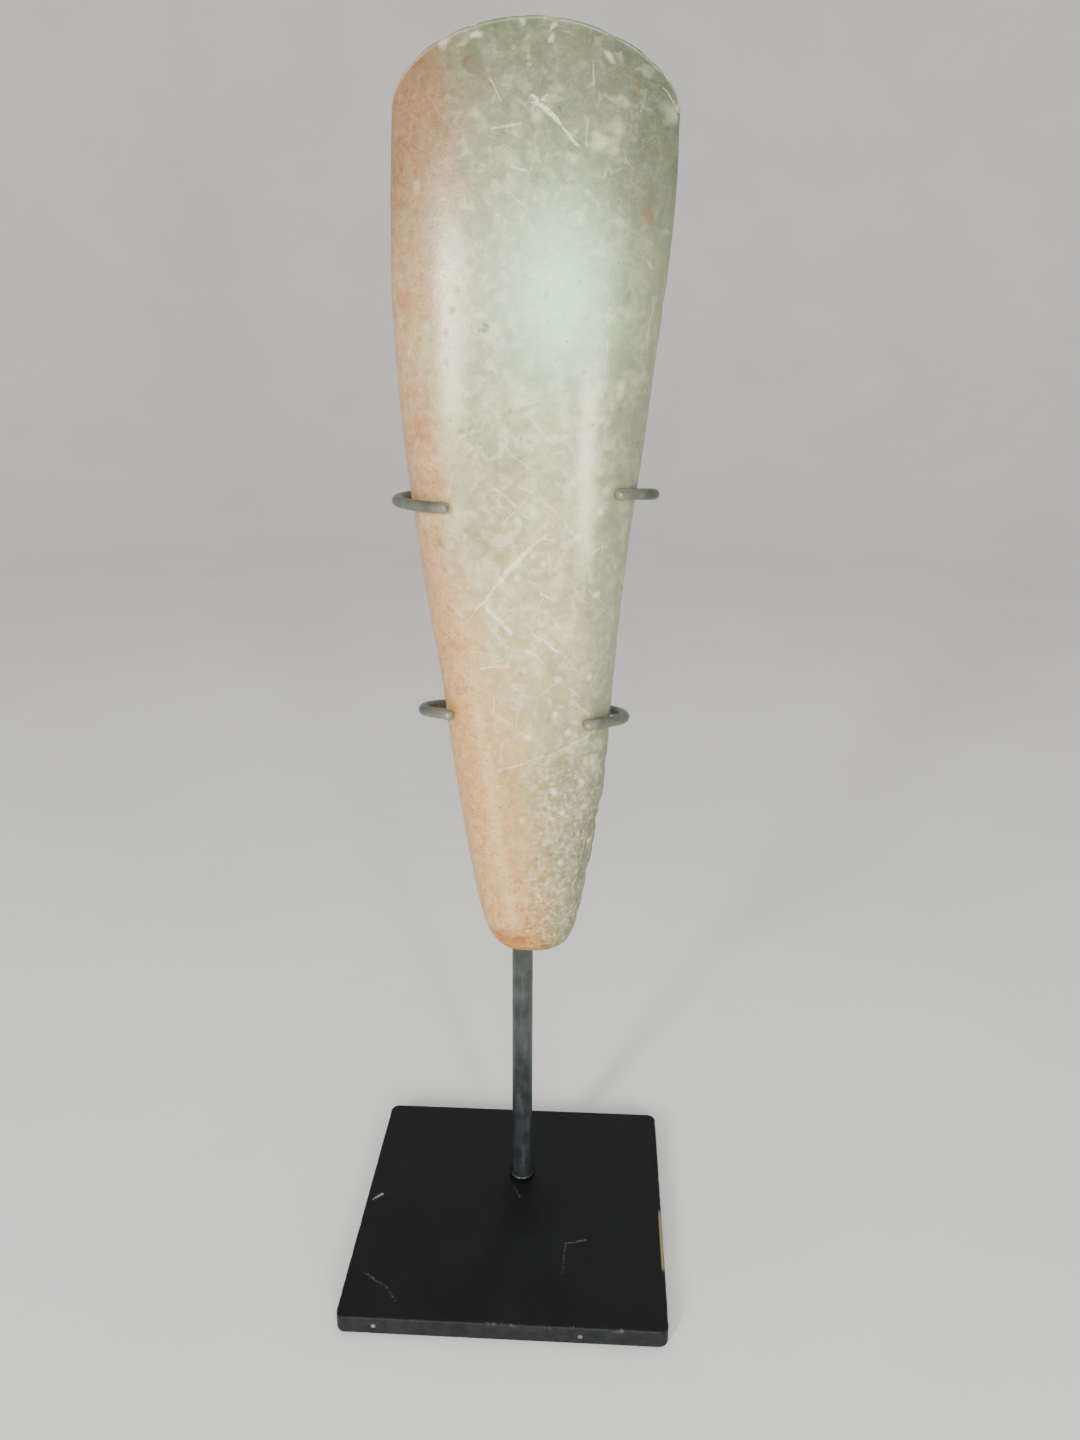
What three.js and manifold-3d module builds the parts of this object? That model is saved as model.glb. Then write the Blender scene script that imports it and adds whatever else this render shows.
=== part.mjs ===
// Polished stone axe head, held upright by the wire claws of a steel display stand.
// Millimetres, +Z up, the front faces -Y. The origin is the middle of the plate's underside.

import * as THREE from 'three';
import Module from 'manifold-3d';
import { mergeVertices } from 'three/addons/utils/BufferGeometryUtils.js';

// Clearance left between two pieces that touch in the real object
const gap = 0.3;

// Base plate
const plateSide = 100;
const plateThickness = 6;
const plateCornerRadius = 3;
const plateEdgeBreak = 0.6;

// Support rod, placed from the middle of the plate
const rodRadius = 3.4;
const rodRight = 2;
const rodBack = 15.7;
const rodSeatDepth = 5;
const rodTopChamfer = 0.8;
const rodAboveWire = 7;

// Claw wires, which lie in saddles filed across the front of the rod
const wireRadius = 1.5;
const saddleDepth = 1.2;

// Stone axe head: overall sizes, then its place on the stand
const axeLength = 250;
const axeWidth = 71;
const axeThickness = 30;
const axeRightOfRod = 1.3;
const buttAbovePlate = 101;

// Cutting edge: how far its middle stands above its corners, and its half thickness
const edgeBow = 20.7;
const edgeHalfThickness = 0.5;

// The bow starts at this share of the length
const bowStart = 0.58;

// Curve of the cutting edge on each side of the middle: 1 - across^a, raised to b
const leftEdgeCurve = { a: 2, b: 0.5 };
const rightEdgeCurve = { a: 1.75, b: 0.57 };

// Rounded butt: the share of the length that it takes, and how square it is in width and thickness
const buttShare = 0.1;
const buttSquareness = { across: 3, through: 2.3 };

// Cross-section: the flat main face and the flank facet as shares of the half width and half
// thickness, and how crisp the ridges between them are
const faceShare = 0.64;
const flankShare = 0.36;
const ridgeCrispness = 7;

// Outline: share of the length, half width and middle line as shares of the width
const outline = [
  [0.0, 0.206, 0.034],
  [0.05, 0.214, 0.035],
  [0.145, 0.27, 0.038],
  [0.246, 0.311, 0.029],
  [0.345, 0.342, 0.018],
  [0.435, 0.377, 0.005],
  [0.523, 0.414, 0.0],
  [0.607, 0.449, 0.001],
  [0.69, 0.474, 0.006],
  [0.765, 0.493, 0.017],
  [0.84, 0.499, 0.03],
  [0.93, 0.494, 0.04],
];

// Thickness: share of the length, share of the greatest thickness
const depth = [
  [0.0, 0.56],
  [0.1, 0.7],
  [0.25, 0.84],
  [0.4, 0.95],
  [0.55, 1.0],
  [0.65, 0.985],
  [0.75, 0.89],
  [0.85, 0.69],
  [0.93, 0.42],
  [0.97, 0.23],
  [1.0, 0.0],
];

// Claws: share of the axe's length where each wire crosses the rod. For each arm: how far its
// finger reaches past the flank in degrees, how far its loop stands off the flank, how far it rises
const upperClaw = {
  at: 0.5432,
  left: { reach: 59, standOff: 2.0, rise: 0 },
  right: { reach: 46, standOff: 2.7, rise: 3.6 },
};
const lowerClaw = {
  at: 0.2948,
  left: { reach: 42, standOff: 4.7, rise: 4.2 },
  right: { reach: 55, standOff: 2.1, rise: 3.2 },
};

// Turn round the stone, in degrees, where an arm leaves the straight bar behind the stone, and
// where it has come up to the stone's back
const barTurn = 22;
const backTurn = 60;

// Fineness of the faceted surfaces
const stoneSides = 52;
const stoneRows = 46;
const roundSides = 40;
const wireSides = 12;
const wireSteps = 76;
const armPoints = 11;

const wasm = await Module();
wasm.setup();

// A closed geometry as a solid that can be cut.
function toSolid(geometry) {
  const bare = geometry.clone();
  bare.deleteAttribute('normal');
  bare.deleteAttribute('uv');
  const merged = mergeVertices(bare);
  const vertProperties = new Float32Array(merged.attributes.position.array);
  const triVerts = new Uint32Array(merged.index.array);
  return new wasm.Manifold(new wasm.Mesh({ numProp: 3, vertProperties, triVerts }));
}

function toGeometry(solid) {
  const mesh = solid.getMesh();
  const geometry = new THREE.BufferGeometry();
  geometry.setAttribute('position', new THREE.BufferAttribute(mesh.vertProperties, 3));
  geometry.setIndex(new THREE.BufferAttribute(mesh.triVerts, 1));
  geometry.computeVertexNormals();
  return geometry;
}

// A round bar along Z between two heights.
function uprightBar(radius, bottom, top) {
  const bar = new THREE.CylinderGeometry(radius, radius, top - bottom, roundSides);
  bar.rotateX(Math.PI / 2);
  bar.translate(0, 0, (bottom + top) / 2);
  return bar;
}

// A curve through one column of a table whose first column is the share of the length.
function curveThrough(table, column) {
  const shares = table.map((row) => row[0]);
  const values = table.map((row) => row[column]);
  const spline = new THREE.CubicInterpolant(shares, values, 1, [0]);
  return (share) => spline.evaluate(share)[0];
}

const halfWidthCurve = curveThrough(outline, 1);
const middleCurve = curveThrough(outline, 2);
const depthCurve = curveThrough(depth, 1);

// Rounding of the butt: 0 at its end, 1 from buttShare on.
function buttRound(share, squareness) {
  const left = Math.max(0, 1 - share / buttShare);
  return (1 - left ** squareness) ** (1 / squareness);
}

// Radius of the cross-section, before it is stretched to its width and thickness: a rectangle
// with bevelled corners, whose flats run into each other over soft ridges.
function sectionRadius(angle) {
  const across = Math.cos(angle);
  const through = Math.sin(angle);
  const bevel = new THREE.Vector2(1 - flankShare, 1 - faceShare);
  const bevelReach = bevel.x * faceShare + bevel.y;
  const flats = [
    across,
    through,
    (bevel.x * across + bevel.y * through) / bevelReach,
    (bevel.x * across - bevel.y * through) / bevelReach,
  ];
  const sum = flats.reduce((total, flat) => total + Math.abs(flat) ** ridgeCrispness, 0);
  return sum ** (-1 / ridgeCrispness);
}

// Height of the cutting edge above its corners, as a share of its bow, from corner to corner.
function edgeRise(across) {
  const { a, b } = across < 0 ? leftEdgeCurve : rightEdgeCurve;
  return Math.max(0, 1 - Math.abs(across) ** a) ** b;
}

// A point of the stone's surface: share of its length, and angle round it from +X towards +Y.
// The stone's own origin is under the lowest point of its butt, in its middle plane.
function stonePoint(share, angle) {
  const radius = sectionRadius(angle);
  const across = (Math.cos(angle) * radius) / sectionRadius(0);
  const through = (Math.sin(angle) * radius) / sectionRadius(Math.PI / 2);
  const bow = edgeBow * Math.max(0, (share - bowStart) / (1 - bowStart)) ** 2;
  const sideShare = share - bow / axeLength;
  const halfWidth = axeWidth * halfWidthCurve(sideShare) * buttRound(share, buttSquareness.across);
  const body = (axeThickness / 2) * depthCurve(share) * buttRound(share, buttSquareness.through);
  const halfDepth = Math.max(body, edgeHalfThickness * Math.min(1, share / buttShare));
  return new THREE.Vector3(
    axeWidth * middleCurve(sideShare) + halfWidth * across,
    halfDepth * through,
    axeLength * share - bow * (1 - edgeRise(across)),
  );
}

// Half thickness of the stone at a share of its length.
function stoneHalfDepth(share) {
  return stonePoint(share, Math.PI / 2).y;
}

// Where the wires and the stone stand, worked out from the rod forwards
const plateTop = plateThickness;
const wireBack = rodBack - rodRadius - wireRadius + saddleDepth;
const axePlace = new THREE.Vector3(
  rodRight + axeRightOfRod,
  wireBack - wireRadius - gap - stoneHalfDepth(upperClaw.at),
  plateTop + buttAbovePlate,
);

function clawHeight(claw) {
  return axePlace.z + claw.at * axeLength;
}

// The stone: rings round its length, closed by the point of the butt and the thin cutting edge.
function stoneGeometry() {
  const positions = [];
  const index = [];
  const last = (stoneRows - 1) * stoneSides;
  for (let row = 1; row <= stoneRows; row += 1) {
    const share = (1 - Math.cos((Math.PI * row) / stoneRows)) / 2;
    for (let side = 0; side < stoneSides; side += 1) {
      positions.push(...stonePoint(share, (2 * Math.PI * side) / stoneSides));
    }
  }
  for (let side = 0; side < stoneSides; side += 1) {
    const next = (side + 1) % stoneSides;
    for (let row = 0; row < stoneRows - 1; row += 1) {
      const low = row * stoneSides;
      const high = low + stoneSides;
      index.push(low + side, low + next, high + next);
      index.push(low + side, high + next, high + side);
    }
    index.push(stoneRows * stoneSides, next, side);
  }
  positions.push(...stonePoint(0, 0));
  for (let side = 0; side < stoneSides / 2; side += 1) {
    const mirrored = (stoneSides - side) % stoneSides;
    const nextMirrored = stoneSides - side - 1;
    if (side > 0) index.push(last + side, last + side + 1, last + mirrored);
    if (side + 1 < stoneSides / 2) index.push(last + side + 1, last + nextMirrored, last + mirrored);
  }
  const geometry = new THREE.BufferGeometry();
  geometry.setAttribute('position', new THREE.Float32BufferAttribute(positions, 3));
  geometry.setIndex(index);
  geometry.computeVertexNormals();
  return geometry;
}

// One arm of a claw: points from near the rod, round the flank, to the tip of its finger. The turn
// is 0 degrees straight behind the stone and 90 at its flank.
function armRoute(claw, arm, side) {
  const points = [];
  const start = barTurn;
  const whole = 90 + arm.reach;
  const slack = wireBack - axePlace.y - stoneHalfDepth(claw.at) - wireRadius - gap;
  for (let step = 0; step < armPoints; step += 1) {
    const turn = start + ((whole - start) * step) / (armPoints - 1);
    const rise = arm.rise * THREE.MathUtils.smoothstep(turn, start, whole);
    const height = claw.at * axeLength + rise;
    const share = (height + wireRadius) / axeLength;
    const towardSide = turn < 90 ? turn / 90 : (whole - turn) / arm.reach;
    const backOnly = Math.max(0, 1 - turn / backTurn);
    const off = wireRadius + gap + arm.standOff * Math.sin((towardSide * Math.PI) / 2) ** 2
      + slack * Math.sin((backOnly * Math.PI) / 2) ** 2;
    const angle = THREE.MathUtils.degToRad(90 - side * turn);
    const on = stonePoint(share, angle);
    const along = stonePoint(share, angle + 0.01).sub(stonePoint(share, angle - 0.01));
    const outward = new THREE.Vector3(along.y, -along.x, 0).normalize();
    on.addScaledVector(outward, off);
    on.z = height;
    points.push(on.add(axePlace));
  }
  return points;
}

// A claw wire: finger, loop, straight bar across the rod, loop and finger.
function clawGeometry(claw) {
  const bar = [-2, -1, 0, 1, 2].map((step) => {
    const right = Math.sign(step) * rodRadius + step * wireRadius;
    return new THREE.Vector3(rodRight + right, wireBack, clawHeight(claw));
  });
  const left = armRoute(claw, claw.left, -1).reverse();
  const route = new THREE.CatmullRomCurve3([...left, ...bar, ...armRoute(claw, claw.right, 1)]);
  const section = new THREE.Shape().absarc(0, 0, wireRadius, 0, 2 * Math.PI);
  return new THREE.ExtrudeGeometry(section, {
    extrudePath: route,
    steps: wireSteps,
    curveSegments: wireSides / 2,
    bevelEnabled: false,
  });
}

// The rod, from its seat in the plate to a little above the upper wire, with a saddle for each wire.
function rodGeometry() {
  const bottom = plateTop - rodSeatDepth;
  const top = clawHeight(upperClaw) + rodAboveWire;
  const profile = [
    new THREE.Vector2(0, bottom),
    new THREE.Vector2(rodRadius, bottom),
    new THREE.Vector2(rodRadius, top - rodTopChamfer),
    new THREE.Vector2(rodRadius - rodTopChamfer, top),
    new THREE.Vector2(0, top),
  ];
  const bar = new THREE.LatheGeometry(profile, roundSides);
  bar.rotateX(Math.PI / 2);
  let rod = toSolid(bar);
  for (const claw of [upperClaw, lowerClaw]) {
    const saddle = uprightBar(wireRadius + gap, -2 * rodRadius, 2 * rodRadius);
    saddle.rotateY(Math.PI / 2);
    saddle.translate(0, wireBack - rodBack, clawHeight(claw));
    rod = rod.subtract(toSolid(saddle));
  }
  return toGeometry(rod);
}

// The plate: a square with rounded corners and broken edges, drilled for the rod.
function plateGeometry() {
  const half = plateSide / 2;
  const straight = half - plateCornerRadius;
  const square = new THREE.Shape();
  square.absarc(straight, straight, plateCornerRadius, 0, Math.PI / 2);
  square.absarc(-straight, straight, plateCornerRadius, Math.PI / 2, Math.PI);
  square.absarc(-straight, -straight, plateCornerRadius, Math.PI, 1.5 * Math.PI);
  square.absarc(straight, -straight, plateCornerRadius, 1.5 * Math.PI, 2 * Math.PI);
  const slab = new THREE.ExtrudeGeometry(square, {
    depth: plateThickness - 2 * plateEdgeBreak,
    bevelThickness: plateEdgeBreak,
    bevelSize: plateEdgeBreak,
    bevelOffset: -plateEdgeBreak,
    bevelSegments: 2,
    curveSegments: 6,
  });
  slab.translate(0, 0, plateEdgeBreak);
  const seat = uprightBar(rodRadius + gap, plateTop - rodSeatDepth - gap, plateTop + rodRadius);
  seat.translate(rodRight, rodBack, 0);
  return toGeometry(toSolid(slab).subtract(toSolid(seat)));
}

function greenstone() {
  return new THREE.MeshStandardMaterial({ color: 0xb4b496, roughness: 0.45, metalness: 0 });
}

function blackPaint() {
  return new THREE.MeshStandardMaterial({ color: 0x1b1d20, roughness: 0.5, metalness: 0.2 });
}

function darkSteel() {
  return new THREE.MeshStandardMaterial({ color: 0x3c4446, roughness: 0.45, metalness: 0.6 });
}

function named(name, geometry, material) {
  const mesh = new THREE.Mesh(geometry, material);
  mesh.name = name;
  return mesh;
}

const stone = named('stone_axe', stoneGeometry(), greenstone());
stone.position.copy(axePlace);

const rod = named('support_rod', rodGeometry(), darkSteel());
rod.position.set(rodRight, rodBack, 0);

const stand = new THREE.Group();
stand.add(
  named('base_plate', plateGeometry(), blackPaint()),
  rod,
  named('upper_claw_wire', clawGeometry(upperClaw), darkSteel()),
  named('lower_claw_wire', clawGeometry(lowerClaw), darkSteel()),
);

const object = new THREE.Group();
object.add(stone, stand);

export default object;
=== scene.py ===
"""A polished stone axe head on its display stand: its surfaces, camera, floor and light."""

import math

import bpy
import numpy as np
from mathutils import Matrix, Vector


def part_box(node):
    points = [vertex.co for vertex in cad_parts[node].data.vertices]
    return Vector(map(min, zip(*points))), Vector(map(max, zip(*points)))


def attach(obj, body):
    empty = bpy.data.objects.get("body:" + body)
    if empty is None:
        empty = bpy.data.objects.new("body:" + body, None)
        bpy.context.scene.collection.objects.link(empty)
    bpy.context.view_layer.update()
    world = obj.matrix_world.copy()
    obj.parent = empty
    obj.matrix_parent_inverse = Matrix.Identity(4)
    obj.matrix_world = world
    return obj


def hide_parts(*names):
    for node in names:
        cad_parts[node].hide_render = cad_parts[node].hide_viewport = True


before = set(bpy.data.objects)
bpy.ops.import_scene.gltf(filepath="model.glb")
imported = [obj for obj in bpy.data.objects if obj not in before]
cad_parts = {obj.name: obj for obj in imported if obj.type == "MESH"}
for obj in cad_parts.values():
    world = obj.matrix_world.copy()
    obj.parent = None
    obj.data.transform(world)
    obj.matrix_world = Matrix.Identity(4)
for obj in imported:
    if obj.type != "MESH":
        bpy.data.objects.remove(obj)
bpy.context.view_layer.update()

MM = 0.001

# The photograph's frame and its camera: the lens fitted to the plate's corners, in photo pixels
PHOTO_WIDTH, PHOTO_HEIGHT = 1080, 1440
LENS_PIXELS = 1134
SENSOR_LONG_SIDE = 36
CAMERA_PLACE = (0.0238, -0.3123, 0.2835)
CAMERA_DOWN, CAMERA_LEFT, CAMERA_ROLL = 18.44, 2.9, 0.39

# Stone: share of the length, half width and middle line as shares of the width
OUTLINE = [
    (0.0, 0.206, 0.034), (0.05, 0.214, 0.035), (0.145, 0.27, 0.038), (0.246, 0.311, 0.029),
    (0.345, 0.342, 0.018), (0.435, 0.377, 0.005), (0.523, 0.414, 0.0), (0.607, 0.449, 0.001),
    (0.69, 0.474, 0.006), (0.765, 0.493, 0.017), (0.84, 0.499, 0.03), (0.93, 0.494, 0.04),
]
# Share of the length, share of the greatest thickness
DEPTH = [
    (0.0, 0.56), (0.1, 0.7), (0.25, 0.84), (0.4, 0.95), (0.55, 1.0), (0.65, 0.985),
    (0.75, 0.89), (0.85, 0.69), (0.93, 0.42), (0.97, 0.23), (1.0, 0.0),
]
# Cross-section: flat face and flank as shares, and how crisp the ridges between them are
FACE_SHARE, FLANK_SHARE, RIDGE_CRISPNESS = 0.64, 0.36, 7
# Cutting edge: height of its bow, half thickness, where the bow starts, the curve of each side
EDGE_BOW, EDGE_HALF_THICKNESS, BOW_START = 20.7 * MM, 0.5 * MM, 0.58
LEFT_EDGE, RIGHT_EDGE = (2, 0.5), (1.75, 0.57)
# Butt: the share of the length that it takes, how square it is in width and in thickness
BUTT_SHARE, BUTT_ACROSS, BUTT_THROUGH = 0.1, 3, 2.3

# Claws: where each wire crosses the rod, as a share of the stone's length, and how far each arm
# reaches round past the flank in degrees, how far it stands off and how much it rises, in mm
UPPER_CLAW = {"at": 0.5432, "left": (59, 2.0, 0.0), "right": (46, 2.7, 3.6)}
LOWER_CLAW = {"at": 0.2948, "left": (42, 4.7, 4.2), "right": (55, 2.1, 3.2)}
WIRE_RADIUS = 1.5 * MM
WIRE_TIP = 1.1 * MM
RUBBED_FROM, RUBBED_TO = 6.5 * MM, 1.2 * MM
GAP = 0.3 * MM
# Degrees round from the back: where an arm leaves the bar, and where it has come up to the stone
BAR_TURN, BACK_TURN, ARM_POINTS = 22, 60, 11

# Rod and plate: weld bead round the rod's foot, rounding of its top; the plate's corners and edges
WELD_WIDTH, WELD_HEIGHT, ROD_TOP = 0.4 * MM, 0.8 * MM, 0.8 * MM
PLATE_CORNER, PLATE_EDGE = 3 * MM, 0.6 * MM
# The seat in the plate that the rod stands in: its depth, and the gap round the rod
SEAT_DEPTH, SEAT_GAP = 5 * MM, 0.3 * MM

# Fineness of the meshes
STONE_BACK_COLUMNS, STONE_ROWS = 86, 374
WIRE_COLUMNS, WIRE_STEP = 24, 0.35 * MM
ROD_COLUMNS = 72
CORNER_STEPS, SIDE_STEPS, TOP_STEPS, EDGE_STEPS = 8, 48, 29, 5

# Marks on the stone, in millimetres: x from the plate's middle, z above the table

# Broad patina: the share across where it ends, by share of the length
PATINA_EDGE = [
    (0, 0.45), (0.086, 0.22), (0.215, -0.12), (0.334, -0.36), (0.446, -0.54), (0.55, -0.64),
    (0.65, -0.66), (0.75, -0.6), (0.88, -0.6), (1, -0.6),
]
# Chips of the cutting edge: x, half width, depth
EDGE_CHIPS = [
    (-24, 2.6, 0.4), (-15.6, 3, 0.3), (-8.7, 1.5, 0.4), (2.9, 1.2, 0.2), (10.4, 2.2, 0.25),
    (24.3, 3.2, 0.3), (33.4, 1.8, 0.4), (37.6, 1.4, 0.35),
]
# Flake scars on the front behind the edge: x, z, radius, depth
FLAKE_SCARS = [
    (-22.5, 344, 4, 0.2), (-15, 348.6, 3.2, 0.22), (3, 353, 3, 0.18),
    (10.5, 351.7, 2.6, 0.2), (26, 346, 3.4, 0.2), (34.5, 341, 3.6, 0.25),
]
# Low ripple of the ground surface: height, size, seed
RIPPLE = [(0.1, 19, 1), (0.045, 8, 2), (0.02, 2.6, 3)]
# Dents of the pecking: depth, size of a cell, share of the cells that are filled, seed
PECKED_DENTS = [(0.34, 2.3, 0.75, 11), (0.26, 1.5, 0.8, 23)]
# Where the right flank steps in below the lower claw, and dents in it: z, half height, depth
FLANK_STEP, FLANK_STEP_DEPTH = 158, 0.8
FLANK_NOTCHES = [
    (169, 3.5, 0.25), (151, 2.8, 0.45), (143, 2, 0.25), (134, 3.2, 0.4), (127, 1.8, 0.3),
    (120, 2.2, 0.4), (206, 3, 0.2), (293, 4.5, 0.2), (333, 2.6, 0.3),
]
# Pits: x, z, radius, depth
PITS = [
    (-11.9, 295.4, 1, 0.3), (-13.4, 290.8, 1.1, 0.3), (-5.3, 286.7, 1.4, 0.45),
    (-15.2, 285.4, 0.9, 0.25), (-15.3, 278.4, 0.9, 0.25), (-11.7, 261.8, 1, 0.3),
    (-9.2, 262.3, 0.9, 0.25), (-4.4, 255.9, 0.9, 0.25), (-22.2, 284, 0.9, 0.2),
    (-20.9, 271.6, 0.8, 0.2), (4.3, 298.7, 0.9, 0.2), (9.7, 294.8, 0.9, 0.2),
    (17.9, 297.6, 0.9, 0.2), (19.8, 289.3, 0.9, 0.2), (10.2, 288.1, 0.8, 0.2),
    (12.3, 279.3, 0.9, 0.2), (21.3, 274.6, 0.9, 0.2), (19.3, 276.5, 0.8, 0.2),
    (18, 266.2, 0.9, 0.25), (15.7, 264.5, 0.8, 0.2), (21, 263.6, 0.8, 0.2),
    (-5.8, 275.1, 0.8, 0.15), (28.2, 275.2, 0.8, 0.15), (30.3, 294.9, 0.9, 0.2),
]
# Pale patches: x, z, radius, strength
PALE_PATCHES = [
    (14.2, 284.2, 2.1, 1), (22.1, 272.5, 1.9, 0.9), (28.5, 272.3, 1.7, 0.8), (0.9, 288.5, 1.6, 0.6),
    (25.2, 288, 1.4, 0.6), (8.9, 297.1, 1.2, 0.6), (1.6, 296.1, 1.2, 0.5), (0.1, 326.2, 2.6, 0.6),
    (-8.6, 334.7, 1.8, 0.5), (6.7, 334.6, 1.9, 0.6), (14.9, 325.3, 2.2, 0.6), (22.5, 328.9, 2.6, 0.7),
    (24.4, 326.2, 2, 0.6), (25.2, 332.8, 2.2, 0.5), (0.2, 318.9, 2, 0.6), (8.4, 317.1, 1.8, 0.6),
    (17.6, 312.5, 1.8, 0.5), (26.7, 310.7, 2, 0.6), (-21.5, 318.7, 1.7, 0.5), (23.7, 171.2, 2.6, 0.8),
    (10.3, 354.2, 1.1, 1.2), (10.6, 351.7, 1.1, 1.1), (2.9, 355.4, 0.9, 1), (-8.7, 352.8, 1, 1.3),
    (-15.3, 351.4, 1.7, 1), (33.4, 344.8, 2, 0.4), (39, 336.5, 2.4, 0.35),
    (24.3, 348.2, 1.2, 1), (25, 176.5, 2.2, 0.5), (21.9, 160, 2.2, 0.5), (30.6, 243, 2.4, 0.4),
    (-16, 300, 2.6, 0.4),
]
# Small white dots: x, z
DOT_RADIUS, DOT_STRENGTH = 1.15, 1.35
WHITE_DOTS = [
    (2.7, 239.9), (6.8, 242), (6.9, 230.6), (2.7, 224.7), (23.8, 242.2), (18.5, 235.5), (23.7, 220),
    (13.7, 197.1), (22.1, 197.3), (13, 186.7), (16.6, 181.5), (5.6, 180), (20.7, 166.6),
    (12.9, 163.3), (21.7, 158.5), (15.2, 157.1), (3.9, 154.6), (23.7, 146.2), (14.8, 141.1),
    (9.6, 228.4),
]
# Red-brown and brown stains: x, z, radius, strength
RUST_STAINS = [
    (33.8, 313.1, 2.4, 0.3), (-6.2, 235.1, 5, 0.4), (-3, 113.2, 5, 1), (3, 109, 10, 0.75),
    (-21.5, 262, 4, 0.3), (1.2, 166, 4.5, 0.22), (1.6, 158, 4.5, 0.26), (1.2, 150, 4.5, 0.26),
    (0.8, 142, 4.5, 0.26), (0.6, 134, 4.5, 0.2),
]
BROWN_STAINS = [
    (-10.3, 348, 1.9, 1), (30.2, 340.7, 1.7, 0.8), (-22, 312, 1.5, 0.7),
    (-17.7, 232.3, 1.2, 0.6), (-10.6, 237.1, 1.1, 0.6), (-8, 235.1, 1, 0.6),
    (-15.8, 226.5, 1.2, 0.6), (-12.7, 192.2, 1.1, 0.6), (-7.5, 189.7, 1, 0.5),
    (-5, 343, 7, 0.3), (2.8, 113.6, 2, 0.8), (33.8, 313.1, 3, 0.5), (32.6, 317.5, 6.5, 0.22),
    (36.5, 327, 3.4, 0.2),
]
# Scratches: start x and z, end x and z, width, strength
SCRATCHES = [
    (6, 338.4, 11.2, 333.6, 1.5, 0.95), (11, 333.8, 16.6, 328, 0.8, 0.8),
    (5.6, 336.2, 8.4, 338.6, 0.9, 0.6), (-3.6, 331.4, 2.4, 332.6, 0.9, 0.42),
    (20.2, 346.1, 20.3, 342, 0.7, 0.32), (1.2, 323.2, 3.6, 322.6, 1, 0.45),
    (0.7, 317.1, 4.8, 314, 0.9, 0.45), (-7.4, 217, -1, 224.4, 1.3, 0.7),
    (-1, 224.4, 5.6, 232.2, 2.1, 1), (5.4, 232, 9.8, 236, 0.8, 0.7),
    (-5, 216.4, 0.8, 210.2, 1.7, 0.8), (-3.4, 209.8, -0.2, 206.2, 0.9, 0.5),
    (7, 209.8, 13.4, 205, 1, 0.95), (5, 205.2, 9.4, 202.2, 1, 0.8),
    (-6.8, 199.7, -0.2, 200.7, 1, 0.8), (9.5, 220.8, 11.9, 219.4, 1, 0.7),
    (12.4, 213.6, 15.2, 209.4, 1.3, 0.6), (6.8, 214.6, 9.4, 212, 0.8, 0.4),
    (-2.2, 169.9, 13, 175.4, 0.7, 0.6), (13, 175.4, 27, 183, 0.7, 0.5),
    (-3.8, 248.6, 5.4, 240.8, 0.8, 0.5), (-0.6, 239.6, 6.2, 246.5, 0.7, 0.5),
    (7.9, 234.8, 11.6, 234.8, 0.8, 0.6), (-2.9, 186.9, 0.8, 184.1, 0.7, 0.6),
    (-1.8, 300.6, 2.2, 303.6, 0.7, 0.5), (-5.4, 282.6, -1.4, 289.6, 0.6, 0.5),
    (5.2, 266.4, 11.8, 259.6, 0.8, 0.35), (-10.7, 213.1, -3.7, 220.6, 0.6, 0.45),
    (-5, 246.7, 8.1, 235.3, 0.5, 0.35), (1.4, 232.9, 3.6, 233.8, 0.7, 0.5),
    (3.6, 233.8, 6.1, 230.8, 0.7, 0.5), (11.3, 230.6, 11.5, 226.8, 1.3, 0.4),
    (17.2, 222.4, 21.4, 218, 0.7, 0.4), (14.4, 204.6, 18.6, 199.4, 0.7, 0.45),
    (1.4, 195.2, 6.2, 191, 0.6, 0.4), (18.4, 190.2, 22.2, 186.2, 0.8, 0.5),
    (-9.4, 204, -2.2, 203.4, 0.6, 0.5), (-1.6, 259.4, 6.8, 252.6, 0.5, 0.35),
    (2.8, 186.6, 2.4, 182.8, 0.6, 0.4),
]
# Fine scratches strewn on the front, back and all over: count, lowest and highest z, width, seed
FRONT_STROKES = [(34, 165, 250, 0.5, 3), (14, 250, 345, 0.5, 4)]
BACK_STROKES = (110, 120, 345, 0.55, 6)
HAIRLINES = (190, 115, 352, 0.34, 8)

# A painted highlight, blue-green, on the upper front: x, z, half width, half height
PAINTED_HIGHLIGHT = (13, 295, 11.5, 19)
# Painted highlights along the ridges of the front: x at z 170, lean, half width, strength, heights
# that it starts and ends between
PAINTED_RIDGE_HIGHLIGHTS = [
    (-13.8, 0, 5, 1, (236, 290), (316, 300)),
    (20.4, 0, 3.4, 1, (222, 240), (284, 268)),
    (-6, 0.14, 3, 0.34, (112, 124), (222, 180)),
]

# Marks in the paint of the plate's top: start and end (x, y) in millimetres, width, strength
PLATE_MARKS = [
    ((-47.5, -0.6), (-45.2, 1.9), 0.8, 0.95), ((18.3, -17), (24.6, -14.9), 0.55, 0.3),
    ((18.3, -17), (17.6, -29.6), 0.5, 0.14), ((-44.1, -32.8), (-35.9, -38.3), 0.6, 0.26),
    ((-35.9, -38.3), (-32.4, -43.9), 0.5, 0.16), ((0.1, 7.6), (2.1, 3.3), 0.5, 0.18),
]
# Flecks in the paint of its front: x, z
FRONT_FLECKS = [(-38.4, 3.1), (23.7, 2.8)]
# The bare stretch of its right rim: middle y, half length
BARE_RIM_MIDDLE, BARE_RIM_HALF = -13.3, 13


def link(name, vertices, faces):
    """A smooth-shaded mesh object at the row frame's origin."""
    mesh = bpy.data.meshes.new(name)
    mesh.from_pydata([tuple(v) for v in vertices], [], faces)
    mesh.update()
    mesh.shade_smooth()
    piece = bpy.data.objects.new(name, mesh)
    bpy.context.scene.collection.objects.link(piece)
    return piece


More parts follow.
